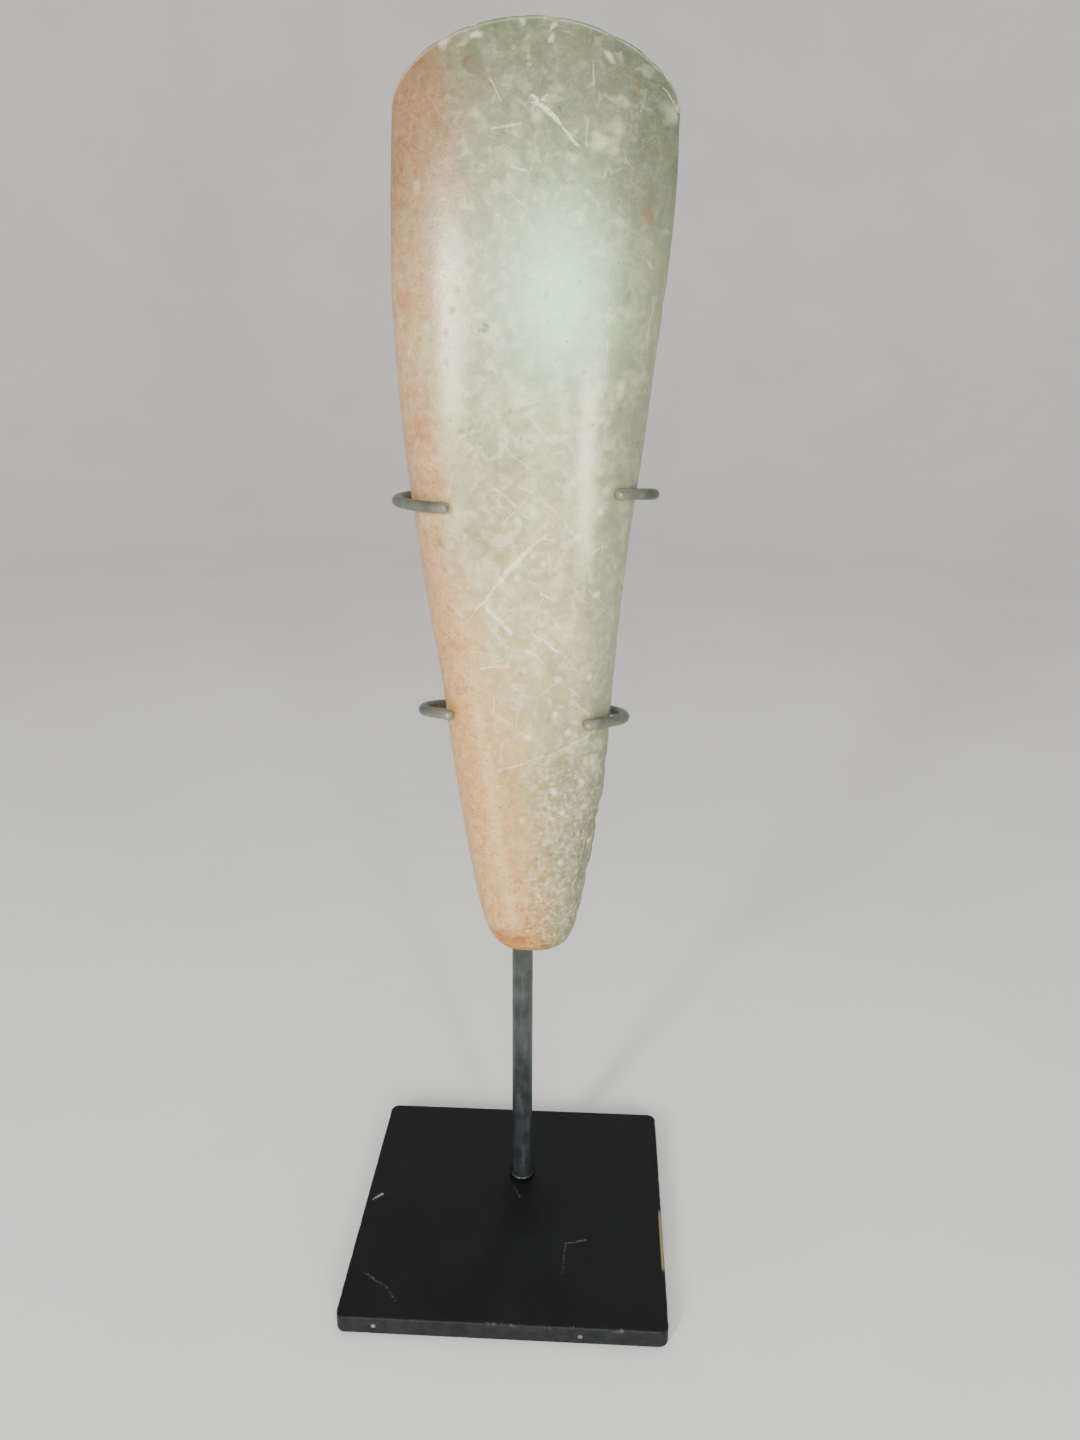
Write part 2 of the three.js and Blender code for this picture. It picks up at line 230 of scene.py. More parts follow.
def give_field(piece, name, values):
    """One number for each vertex, which the material reads by its name."""
    attribute = piece.data.attributes.new(name, "FLOAT", "POINT")
    attribute.data.foreach_set("value", np.asarray(values, np.float32))


def ring_faces(rows, columns, flip=False):
    """Quads between closed rings of vertices."""
    faces = []
    for row in range(rows - 1):
        low, high = row * columns, (row + 1) * columns
        for column in range(columns):
            following = (column + 1) % columns
            face = (low + column, low + following, high + following, high + column)
            faces.append(face[::-1] if flip else face)
    return faces


def bar_faces(rows, columns, flip=False):
    """Such rings with a fan at each end, round the two vertices that follow them."""
    faces = ring_faces(rows, columns, flip)
    end, first, last = (rows - 1) * columns, rows * columns, rows * columns + 1
    for column in range(columns):
        following = (column + 1) % columns
        for face in ((first, following, column), (last, end + column, end + following)):
            faces.append(face[::-1] if flip else face)
    return faces


def smoothstep(low, high, value):
    """A smooth rise from 0 at low to 1 at high. Low may be the larger of the two."""
    share = np.clip((value - low) / (high - low), 0, 1)
    return share * share * (3 - 2 * share)


def bump(value, middle, half_width):
    """1 at the middle, falling smoothly to 0 at half_width on each side."""
    return np.clip(1 - ((value - middle) / half_width) ** 2, 0, 1) ** 2


def curve_through(table, column):
    """A smooth curve through one column of a table, over its first column."""
    at, value = np.array([(row[0], row[column]) for row in table], float).T
    slope = np.gradient(value, at)
    slope[1:-1] = (value[2:] - value[:-2]) / (at[2:] - at[:-2])

    def curve(share):
        share = np.clip(share, at[0], at[-1])
        i = np.clip(np.searchsorted(at, share, side="right") - 1, 0, len(at) - 2)
        step = at[i + 1] - at[i]
        t = (share - at[i]) / step
        start = (1 + 2 * t) * (1 - t) ** 2 * value[i] + t * (1 - t) ** 2 * step * slope[i]
        end = t * t * (3 - 2 * t) * value[i + 1] - t * t * (1 - t) * step * slope[i + 1]
        return start + end

    return curve


half_width_curve = curve_through(OUTLINE, 1)
middle_curve = curve_through(OUTLINE, 2)
depth_curve = curve_through(DEPTH, 1)
patina_edge_curve = curve_through(PATINA_EDGE, 1)


def hashed(*whole, seed):
    """A repeatable number from 0 to 1 for each lattice point."""
    mixed = np.full(whole[0].shape, np.uint64(seed * 7919 + 12345))
    for axis, prime in zip(whole, (73856093, 19349663, 83492791)):
        mixed = mixed ^ (axis.astype(np.int64).astype(np.uint64) * np.uint64(prime))
        mixed = (mixed * np.uint64(6364136223846793005)) ^ (mixed >> np.uint64(29))
    return ((mixed >> np.uint64(11)) & np.uint64(0xFFFFFF)).astype(float) / 0xFFFFFF


def value_noise(points, size, seed):
    """Smooth noise from -1 to 1 with features about size across."""
    scaled = points / size
    base = np.floor(scaled)
    part = scaled - base
    part = part * part * (3 - 2 * part)
    total = np.zeros(points.shape[:-1])
    for corner in np.ndindex(2, 2, 2):
        weight = np.ones(points.shape[:-1])
        for axis in range(3):
            weight = weight * (part[..., axis] if corner[axis] else 1 - part[..., axis])
        lattice = [base[..., axis] + corner[axis] for axis in range(3)]
        total += weight * hashed(*lattice, seed=seed)
    return 2 * total - 1


def dents(across, up, cell, share_filled, seed):
    """Depth from 0 to 1 of round dents strewn over a surface, about one to a cell."""
    depth = np.zeros(across.shape)
    cell_x, cell_y = np.floor(across / cell), np.floor(up / cell)
    for shift_x, shift_y in np.ndindex(3, 3):
        i, j = cell_x + shift_x - 1, cell_y + shift_y - 1
        chance = [hashed(i, j, seed=seed + k) for k in range(4)]
        dx = across - (i + 0.2 + 0.6 * chance[0]) * cell
        dy = up - (j + 0.2 + 0.6 * chance[1]) * cell
        radius = cell * (0.3 + 0.35 * chance[2])
        inside = np.clip(1 - (dx * dx + dy * dy) / radius**2, 0, 1) ** 1.5
        strength = np.where(chance[3] < share_filled, 0.35 + 0.65 * chance[3] / share_filled, 0)
        depth = np.maximum(depth, inside * strength)
    return depth


def section_radius(angle):
    """Radius of the cross-section before it is stretched to its width and thickness."""
    across, through = np.cos(angle), np.sin(angle)
    bevel_x, bevel_y = 1 - FLANK_SHARE, 1 - FACE_SHARE
    reach = bevel_x * FACE_SHARE + bevel_y
    flats = (
        across,
        through,
        (bevel_x * across + bevel_y * through) / reach,
        (bevel_x * across - bevel_y * through) / reach,
    )
    return sum(np.abs(flat) ** RIDGE_CRISPNESS for flat in flats) ** (-1 / RIDGE_CRISPNESS)


def section_point(angle):
    """Share of the half width and of the half thickness at an angle from +X towards +Y."""
    radius = section_radius(angle)
    across = np.cos(angle) * radius / section_radius(0.0)
    through = np.sin(angle) * radius / section_radius(math.pi / 2)
    return across, through


def butt_round(share, squareness):
    """Rounding of the butt: 0 at its end, 1 from BUTT_SHARE on."""
    left = np.clip(1 - share / BUTT_SHARE, 0, 1)
    return (1 - left**squareness) ** (1 / squareness)


def edge_rise(across):
    """Height of the cutting edge above its corners, as a share of its bow."""
    left, right = (
        np.clip(1 - np.abs(across) ** power, 0, 1) ** root
        for power, root in (LEFT_EDGE, RIGHT_EDGE)
    )
    return np.where(across < 0, left, right)


# Size and place of the stone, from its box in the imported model
stone_low, stone_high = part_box("stone_axe")
STONE_LENGTH = stone_high.z - stone_low.z
STONE_DEPTH = stone_high.y - stone_low.y
side_shares = np.linspace(0, 1 - EDGE_BOW / STONE_LENGTH, 800)
side_width = half_width_curve(side_shares) * butt_round(side_shares, BUTT_ACROSS)
left_side = (middle_curve(side_shares) - side_width).min()
right_side = (middle_curve(side_shares) + side_width).max()
STONE_WIDTH = (stone_high.x - stone_low.x) / (right_side - left_side)
STONE_PLACE = Vector((
    stone_low.x - STONE_WIDTH * left_side,
    (stone_low.y + stone_high.y) / 2,
    stone_low.z,
))


def stone_point(share, angle):
    """Points of the stone's surface, in the row frame."""
    across, through = section_point(angle)
    bow = EDGE_BOW * np.clip((share - BOW_START) / (1 - BOW_START), 0, 1) ** 2
    side_share = share - bow / STONE_LENGTH
    half_width = STONE_WIDTH * half_width_curve(side_share) * butt_round(share, BUTT_ACROSS)
    body = STONE_DEPTH / 2 * depth_curve(share) * butt_round(share, BUTT_THROUGH)
    half_depth = np.maximum(body, EDGE_HALF_THICKNESS * np.clip(share / BUTT_SHARE, 0, 1))
    x = STONE_WIDTH * middle_curve(side_share) + half_width * across
    z = STONE_LENGTH * share - bow * (1 - edge_rise(across))
    return np.stack([x, half_depth * through, z], axis=-1) + np.array(STONE_PLACE)


def half_depth_at(share):
    """Half the stone's thickness at a share of its length."""
    return stone_point(share, math.pi / 2)[1] - STONE_PLACE.y


def half_turn(segments):
    """Angles from 0 to a half turn, evenly spaced along the stone's outline."""
    dense = np.linspace(0, math.pi, 4001)
    across, through = section_point(dense)
    steps = np.hypot(np.diff(across * STONE_WIDTH), np.diff(through * STONE_DEPTH))
    length = np.concatenate([[0], np.cumsum(steps)])
    return np.interp(np.linspace(0, length[-1], segments + 1), length, dense)


def strewn_strokes(count, low, high, width, seed):
    """Fine scratches strewn between two heights, slanting one of three ways."""
    chance = np.random.default_rng(seed)
    slants = np.radians(chance.choice((44, -42, 80), count) + chance.normal(0, 9, count))
    length = chance.uniform(2, 8, count)
    x, z = chance.uniform(-30, 40, count), chance.uniform(low, high, count)
    end_x, end_z = x + length * np.cos(slants), z + length * np.sin(slants)
    strength = chance.uniform(0.15, 0.6, count)
    return np.column_stack([x, z, end_x, end_z, np.full(count, width), strength])


def nearest_stroke(x, z, strokes):
    """Half widths off the nearest stroke's line, millimetres past its edge, its strength."""
    aside, past, strength = (np.full(x.shape, start) for start in (9.0, 9.0, 0.0))
    for start_x, start_z, end_x, end_z, width, weight in strokes:
        length = math.hypot(end_x - start_x, end_z - start_z)
        run_x, run_z = (end_x - start_x) / length, (end_z - start_z) / length
        along = (x - start_x) * run_x + (z - start_z) * run_z
        off_line = (x - start_x) * run_z - (z - start_z) * run_x
        beyond = np.clip(np.maximum(-along, along - length), 0, None)
        gap = np.hypot(off_line, beyond) - width / 2
        nearer = gap < past
        aside = np.where(nearer, off_line / (width / 2), aside)
        past = np.where(nearer, gap, past)
        strength = np.where(nearer, weight, strength)
    return aside, past, strength


def patches(x, z, places):
    """Soft round patches: x, z, radius, strength."""
    total = np.zeros(x.shape)
    for place_x, place_z, radius, strength in places:
        away = np.hypot(x - place_x, z - place_z) / radius
        total = np.maximum(total, strength * np.clip(1 - away**2, 0, 1))
    return total


def stone_pecking(points, across, share):
    """How far the surface is pecked and left unpolished, from 0 to 1."""
    right = smoothstep(-0.35, 0.35, across) * smoothstep(0.42, 0.16, share)
    butt = smoothstep(0.16, 0.02, share)
    left = smoothstep(-0.5, -0.85, across) * smoothstep(0.6, 0.3, share)
    strewn = smoothstep(0.0, 0.7, value_noise(points, 17 * MM, 5))
    return np.clip(right + 0.5 * butt + 0.25 * left + 0.14 * strewn, 0, 1)


def flank_relief(across, z):
    """The step and the dents of the right flank, in millimetres."""
    on_right = smoothstep(0.68, 0.98, across)
    below_step = smoothstep(FLANK_STEP + 2, FLANK_STEP - 3, z) * smoothstep(112, 138, z)
    relief = -FLANK_STEP_DEPTH * on_right * below_step
    for place_z, half_height, depth in FLANK_NOTCHES:
        relief = relief - depth * bump(z, place_z, half_height) * on_right
    return relief


def stone_relief(points, girth, across, share, is_front, pecked):
    """Height of the surface over the smooth form, in millimetres."""
    x, z = points[..., 0] / MM, points[..., 2] / MM
    relief = sum(height * value_noise(points, size * MM, seed) for height, size, seed in RIPPLE)
    for depth, *pattern in PECKED_DENTS:
        relief -= depth * pecked * dents(girth, z, *pattern)
    relief -= 0.22 * pecked * np.abs(value_noise(points, 4.2 * MM, 7))
    relief -= 0.12 * dents(girth, z, 6.5, 0.22, 41) * smoothstep(0, 0.1, 1 - share)
    relief -= is_front * (patches(x, z, PITS) + patches(x, z, FLAKE_SCARS) ** 0.7)
    relief += flank_relief(across, z)

    # The butt: fuller at its lower right, with a small ledge in front
    relief += 0.9 * bump(x, 18.5, 6) * smoothstep(114, 106, z)
    ledge = smoothstep(0.0, 0.7, 114.2 + 0.12 * (x - 3) - z) * bump(x, 2.4, 7) * is_front
    relief -= 0.45 * ledge * smoothstep(109, 111.5, z)

    # Less of it near the cutting edge, and none on the edge itself and at the butt's end
    near_edge = 1 - 0.6 * smoothstep(0.9, 0.97, share)
    return relief * smoothstep(0, 0.012, share) * near_edge * smoothstep(0, 0.02, 1 - share)


def chip_edge(points, share, is_front):
    """Cuts nibbles and a slightly ragged line into the cutting edge."""
    x = points[..., 0] / MM
    for count, (place_x, half_width, depth) in enumerate(EDGE_CHIPS):
        near = smoothstep(1 - 5 * depth / (STONE_LENGTH / MM), 1, share)
        scoop = bump(x, place_x, half_width) * near
        points[..., 2] -= depth * MM * scoop
        flaked = is_front if count % 3 else ~is_front
        toward = np.where(is_front, 1, -1)
        points[..., 1] += toward * 0.3 * depth * MM * scoop * flaked
    ragged = smoothstep(0.985, 1, share) * (0.06 + 0.14 * smoothstep(24, 36, x))
    points[..., 2] -= ragged * MM * np.abs(value_noise(points * (1, 0, 1), 1.9 * MM, 9))


def patina_share(across, share, wander, is_front):
    """How much of the tan patina there is, from 0 to 1."""
    soft = 0.25 + 0.25 * smoothstep(0.55, 0.2, share)
    past_edge = across - patina_edge_curve(share) + 1.3 * wander
    front = smoothstep(soft, -soft, past_edge)
    back = smoothstep(-0.4, -0.85, across + 2 * wander) + smoothstep(0.2, 0.0, share)
    return np.where(is_front, front, np.clip(back, 0, 1))


def painted_shade_share(across, share, wander):
    """Painted shade: the stone's colour made darker by the cutting edge, on the right and low down.
    """
    by_edge = 0.44 * smoothstep(0.70, 1.0, share + 0.2 * wander)
    middle = bump(share, 0.44, 0.16)
    on_right = 0.30 * smoothstep(0.3, 0.85, across + wander) * (1 - 0.45 * middle)
    low_right = 0.44 * smoothstep(0.40, 0.2, share) * smoothstep(-0.2, 0.5, across + 2 * wander)
    return (1 - by_edge) * (1 - np.maximum(on_right, low_right))


def ridge_highlight_share(x, z):
    """Where painted highlights lie along the ridges of the front, from 0 to 1."""
    total = np.zeros(x.shape)
    for middle, lean, half_width, strength, start, end in PAINTED_RIDGE_HIGHLIGHTS:
        ridge = strength * bump(x, middle + lean * (170 - z), half_width)
        total = np.maximum(total, ridge * smoothstep(*start, z) * smoothstep(*end, z))
    return total


def stone_fields(points, across, share, is_front, pecked):
    """The fields that the stone's material reads."""
    x, z = points[..., 0] / MM, points[..., 2] / MM
    drift = [
        1.5 * value_noise(points, 3.6 * MM, seed) + 0.7 * value_noise(points, 1.5 * MM, seed + 1)
        for seed in (33, 35)
    ]
    bent = x + drift[0], z + drift[1]
    wavering = x + 0.3 * drift[0], z + 0.3 * drift[1]
    wander = 0.10 * value_noise(points, 14 * MM, 31) + 0.05 * value_noise(points, 5 * MM, 32)

    pits = [(*place, radius, min(1, 2.4 * depth)) for *place, radius, depth in PITS]
    dots = patches(x, z, [(*place, DOT_RADIUS, DOT_STRENGTH) for place in WHITE_DOTS])
    pale = np.maximum(patches(*bent, PALE_PATCHES), dots).clip(0, 1.25)
    strewn = [stroke for group in FRONT_STROKES for stroke in strewn_strokes(*group)]
    front = nearest_stroke(*wavering, [*SCRATCHES, *strewn])
    back = nearest_stroke(*wavering, strewn_strokes(*BACK_STROKES))
    hair = nearest_stroke(*wavering, strewn_strokes(*HAIRLINES))
    stroke = [np.where(is_front, f, b) for f, b in zip(front, back)]
    highlight_x, highlight_z, highlight_width, highlight_height = PAINTED_HIGHLIGHT
    painted_highlight = np.exp(-(((x - highlight_x) / highlight_width) ** 2) - ((z - highlight_z) / highlight_height) ** 2)
    fields = {
        "patina": patina_share(across, share, wander, is_front),
        "pecked": pecked,
        "across": across,
        "painted_highlight": painted_highlight * is_front,
        # Olive towards the cutting edge, and painted shade there
        "edge_olive_and_shade": smoothstep(0.74, 0.95, share + 0.3 * wander),
        "painted_shade": painted_shade_share(across, share, wander),
        "warm": smoothstep(262, 190, z + 60 * wander) * smoothstep(1.1, -0.2, across),
        "pit": patches(x, z, pits) * is_front,
        "pale": pale * is_front,
        "wear_and_painted_highlight": ridge_highlight_share(x, z) * is_front,
        "rust": patches(*bent, RUST_STAINS) * is_front,
        "brown": patches(*bent, BROWN_STAINS) * is_front,
    }
    for name, values in (("stroke", stroke), ("hair", hair)):
        for part, value in zip(("aside", "past", "strength"), values):
            fields[f"{name}_{part}"] = value
    return fields


def stone_faces(columns):
    """Quads round the stone, a fan at its butt and a seam along the cutting edge."""
    faces = ring_faces(STONE_ROWS, columns)
    butt = STONE_ROWS * columns
    faces += [(butt, (column + 1) % columns, column) for column in range(columns)]
    last = (STONE_ROWS - 1) * columns
    for column in range(STONE_BACK_COLUMNS):
        mirrored = [(columns - 2 * column - step) % columns for step in (2, 1, 0)]
        face = [last + column, last + column + 1, *[last + place for place in mirrored]]
        faces.append(tuple(dict.fromkeys(face)))
    return faces


def build_stone():
    """The stone on a fine grid, with its pecking, pits, chips and low ripple."""
    back = half_turn(STONE_BACK_COLUMNS)[:-1]
    front = 2 * math.pi - half_turn(2 * STONE_BACK_COLUMNS)[::-1][:-1]
    angles = np.concatenate([back, front])
    even = np.arange(1, STONE_ROWS + 1) / STONE_ROWS
    shares = 0.72 * even + 0.28 * (1 - np.cos(math.pi * even)) / 2
    share, angle = np.meshgrid(shares, angles, indexing="ij")
    points = stone_point(share, angle)
    across, _ = section_point(angle)
    round_it = np.roll(points, -1, axis=1) - np.roll(points, 1, axis=1)
    outward = np.cross(round_it, np.gradient(points, axis=0))
    outward /= np.maximum(np.linalg.norm(outward, axis=-1, keepdims=True), 1e-12)
    girth = np.cumsum(np.linalg.norm(round_it, axis=-1), axis=1) / 2 / MM
    is_front = angle > math.pi

    pecked = stone_pecking(points, across, share)
    relief = stone_relief(points, girth, across, share, is_front, pecked)
    fields = stone_fields(points, across, share, is_front, pecked)
    points = points + outward * (relief * MM)[..., None]
    chip_edge(points, share, is_front)

    vertices = np.concatenate([points.reshape(-1, 3), [stone_point(0.0, 0.0)]])
    piece = link("ground_stone", vertices, stone_faces(len(angles)))
    for name, values in fields.items():
        give_field(piece, name, np.append(values.reshape(-1), values[0].mean()))
    return piece


def wire_rings(route, radius):
    """Rings of vertices round a route, one to each of its points, with a radius each."""
    along = np.gradient(route, axis=0)
    along /= np.linalg.norm(along, axis=1, keepdims=True)
    side = np.cross(along, (0.0, 0.0, 1.0))
    side /= np.linalg.norm(side, axis=1, keepdims=True)
    top = np.cross(side, along)
    turn = (np.arange(WIRE_COLUMNS) * 2 * math.pi / WIRE_COLUMNS)[None, :, None]
    outward = np.cos(turn) * side[:, None] + np.sin(turn) * top[:, None]
    return route[:, None] + radius[:, None, None] * outward


def even_route(points, step):
    """A smooth curve through points, in even steps."""
    points = np.asarray(points, float)
    chord = np.concatenate([[0], np.cumsum(np.linalg.norm(np.diff(points, axis=0), axis=1))])
    table = [(s, *p) for s, p in zip(chord, points)]
    curves = [curve_through(table, axis) for axis in (1, 2, 3)]
    dense = np.linspace(0, chord[-1], int(chord[-1] / step))
    return np.stack([curve(dense) for curve in curves], axis=1)


rod_low, rod_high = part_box("support_rod")
ROD_RADIUS = (rod_high.x - rod_low.x) / 2
ROD_X = (rod_low.x + rod_high.x) / 2
ROD_Y = rod_high.y - ROD_RADIUS
WIRE_Y = STONE_PLACE.y + half_depth_at(UPPER_CLAW["at"]) + GAP + WIRE_RADIUS


def claw_height(claw):
    """Height above the table at which a claw's wire crosses the rod."""
    return STONE_PLACE.z + claw["at"] * STONE_LENGTH


def arm_route(claw, arm, side):
    """One arm of a claw, from near the rod round the flank to its finger's tip."""
    reach, stand_off, rise = claw[arm]
    whole = 90 + reach
    slack = WIRE_Y - STONE_PLACE.y - half_depth_at(claw["at"]) - WIRE_RADIUS - GAP
    points = []
    for turn in np.linspace(BAR_TURN, whole, ARM_POINTS):
        height = claw["at"] * STONE_LENGTH + rise * MM * smoothstep(BAR_TURN, whole, turn)
        share = (height + WIRE_RADIUS) / STONE_LENGTH
        toward_side = turn / 90 if turn < 90 else (whole - turn) / reach
        off = WIRE_RADIUS + GAP + stand_off * MM * math.sin(toward_side * math.pi / 2) ** 2
        off += slack * math.sin(max(0, 1 - turn / BACK_TURN) * math.pi / 2) ** 2
        angle = math.radians(90 - side * turn)
        along = stone_point(share, angle + 0.01) - stone_point(share, angle - 0.01)
        outward = np.array([along[1], -along[0], 0.0])
        point = stone_point(share, angle) + outward / np.linalg.norm(outward) * off
        point[2] = STONE_PLACE.z + height
        points.append(point)
    return points


def build_claw(name, claw):
    """A claw's wire, with rounded tips and slightly uneven all along."""
    bar = [
        (ROD_X + np.sign(step) * ROD_RADIUS + step * WIRE_RADIUS, WIRE_Y, claw_height(claw))
        for step in (-2, -1, 0, 1, 2)
    ]
    left, right = arm_route(claw, "left", -1), arm_route(claw, "right", 1)
    route = even_route([*left[::-1], *bar, *right], WIRE_STEP)
    run = np.concatenate([[0], np.cumsum(np.linalg.norm(np.diff(route, axis=0), axis=1))])
    to_end = np.minimum(run, run[-1] - run)
    tip = np.sqrt(np.clip(1 - ((WIRE_TIP - to_end) / WIRE_TIP).clip(0) ** 2.6, 0, 1))
    uneven = 0.992 + 0.008 * value_noise(route, 6 * MM, 61)
    rings = wire_rings(route, WIRE_RADIUS * uneven * np.maximum(tip, 0.35))
    rings += 0.012 * MM * value_noise(rings, 1.5 * MM, 62)[..., None]
    vertices = np.concatenate([rings.reshape(-1, 3), route[:1], route[-1:]])
    piece = link(name, vertices, bar_faces(len(route), WIRE_COLUMNS, flip=True))
    worn = smoothstep(RUBBED_FROM, RUBBED_TO, to_end)
    give_field(piece, "worn", [*np.repeat(worn, WIRE_COLUMNS), 1, 1])
    return piece


def rod_heights(plate_top):
    """Heights of the rod's rings, closest by the weld, by each wire and at the top."""
    heights = [rod_low.z, *np.linspace(plate_top - 0.2 * MM, plate_top + 3 * MM, 26)]
    for claw in (LOWER_CLAW, UPPER_CLAW):
        middle = claw_height(claw)
        heights += list(np.linspace(heights[-1] + 2 * MM, middle - 3 * MM, 40))
        heights += list(np.linspace(middle - 2.9 * MM, middle + 2.9 * MM, 60))
    rounded_from = rod_high.z - ROD_TOP
    heights += list(np.linspace(heights[-1] + MM, rounded_from - 0.05 * MM, 8))
    heights += list(rounded_from + ROD_TOP * np.sin(np.linspace(0, math.pi / 2, 7)))
    return np.array(heights)


def build_rod():
    """The rod, with a weld at its foot, a filed top and a saddle for each wire."""
    plate_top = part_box("base_plate")[1].z
    heights = rod_heights(plate_top)
    to_top = np.clip((heights - (rod_high.z - ROD_TOP)) / ROD_TOP, 0, 1)
    radius = ROD_RADIUS - ROD_TOP * (1 - np.sqrt(1 - to_top**2 * 0.96))
    above = np.clip(heights - plate_top, 0, None)
    weld = WELD_WIDTH * np.clip(1 - above / WELD_HEIGHT, 0, 1) ** 2
    weld = np.where(heights >= plate_top, weld, 0)
    turn = np.arange(ROD_COLUMNS) * 2 * math.pi / ROD_COLUMNS
    uneven = 1 + 0.3 * np.sin(2 * turn + 1.0) + 0.12 * np.sin(5 * turn)
    around = radius[:, None] + weld[:, None] * uneven
    upright = np.repeat(heights[:, None], ROD_COLUMNS, axis=1)
    points = np.stack([around * np.cos(turn), around * np.sin(turn), upright], axis=-1)
    saddle = WIRE_RADIUS + 0.08 * MM
    for claw in (LOWER_CLAW, UPPER_CLAW):
        up = points[..., 2] - claw_height(claw)
        cut = WIRE_Y - ROD_Y + np.sqrt(np.clip(saddle**2 - up**2, 0, None))
        inside = (np.abs(up) < saddle) & (points[..., 1] < cut)
        points[..., 1] = np.where(inside, cut, points[..., 1])
    points += 0.02 * MM * value_noise(points, 3 * MM, 71)[..., None] * (1, 1, 0)
    points += (ROD_X, ROD_Y, 0)
    ends = [(ROD_X, ROD_Y, rod_low.z), (ROD_X, ROD_Y, rod_high.z)]
    vertices = np.concatenate([points.reshape(-1, 3), ends])
    return link("painted_rod", vertices, bar_faces(len(heights), ROD_COLUMNS))


def plate_rim(half):
    """Places on the plate's outline seen from above, and the way that each of them faces."""
    places, facings = [], []
    for quarter in range(4):
        start = quarter * math.pi / 2
        diagonal = start + math.pi / 4
        centre = np.sign([math.cos(diagonal), math.sin(diagonal)]) * (half - PLATE_CORNER)
        for step in range(CORNER_STEPS + 1):
            turn = start + step / CORNER_STEPS * math.pi / 2
            facing = np.array([math.cos(turn), math.sin(turn)])
            places.append(centre + PLATE_CORNER * facing)
            facings.append(facing)

        # The straight side that follows the corner
        along = np.array([-facing[1], facing[0]])
        for step in range(1, SIDE_STEPS):
            run = 2 * (half - PLATE_CORNER) * step / SIDE_STEPS
            places.append(centre + PLATE_CORNER * facing + along * run)
            facings.append(facing)
    return np.array(places), np.array(facings)


def build_plate():
    """The plate: rings from the rod's seat over the top, round the worn edge and under."""
    low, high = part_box("base_plate")
    half, thickness = (high.x - low.x) / 2, high.z - low.z
    rim, outward = plate_rim(half)
    middle = np.array([ROD_X, ROD_Y])
    ray = rim - middle
    ray /= np.linalg.norm(ray, axis=1, keepdims=True)
    hole = middle + ray * (ROD_RADIUS + SEAT_GAP)
    flat = rim - outward * PLATE_EDGE
    seat, upright = thickness - SEAT_DEPTH, thickness - 2 * PLATE_EDGE
    edge_turns = np.linspace(0, math.pi / 2, EDGE_STEPS + 1)

    # Each ring lies a share of the way between two others, at a height of its own
    rings = [(middle, hole, 0.02, seat), (middle, hole, 1, seat), (middle, hole, 1, thickness)]
    rings += [(hole, flat, share, thickness) for share in np.linspace(0, 1, TOP_STEPS + 1)[1:]]
    for turn in edge_turns[1:]:
        rings.append((flat, rim, math.sin(turn), thickness - PLATE_EDGE * (1 - math.cos(turn))))
    for share in np.linspace(0, 1, 9)[1:-1]:
        rings.append((flat, rim, 1, thickness - PLATE_EDGE - upright * share))
    for turn in edge_turns:
        rings.append((flat, rim, math.cos(turn), PLATE_EDGE * (1 - math.sin(turn))))
    rings += [(middle, flat, share, 0.0) for share in (0.66, 0.33, 0.02)]
    points = np.array([
        np.column_stack([start + (end - start) * share, np.full(len(rim), z)])
        for start, end, share, z in rings
    ])

    # Small nicks along the edges
    x, y, z = np.moveaxis(points, -1, 0)
    near_rim = smoothstep(1.2 * MM, 0.1 * MM, np.abs(np.maximum(np.abs(x), np.abs(y)) - half))
    nick = dents(x / MM + y / MM, z / MM * 0.2, 3.1, 0.5, 81)
    outside = np.column_stack([outward, np.zeros(len(outward))])
    points = points - outside * (0.16 * MM * nick * near_rim)[..., None]
    points[..., 2] = np.clip(points[..., 2], 0, thickness) + low.z

    rows, columns = len(rings), len(rim)
    faces = ring_faces(rows, columns, flip=True)
    faces.append(tuple(range(columns)))
    faces.append(tuple((rows - 1) * columns + column for column in range(columns))[::-1])
    return link("painted_plate", points.reshape(-1, 3), faces)


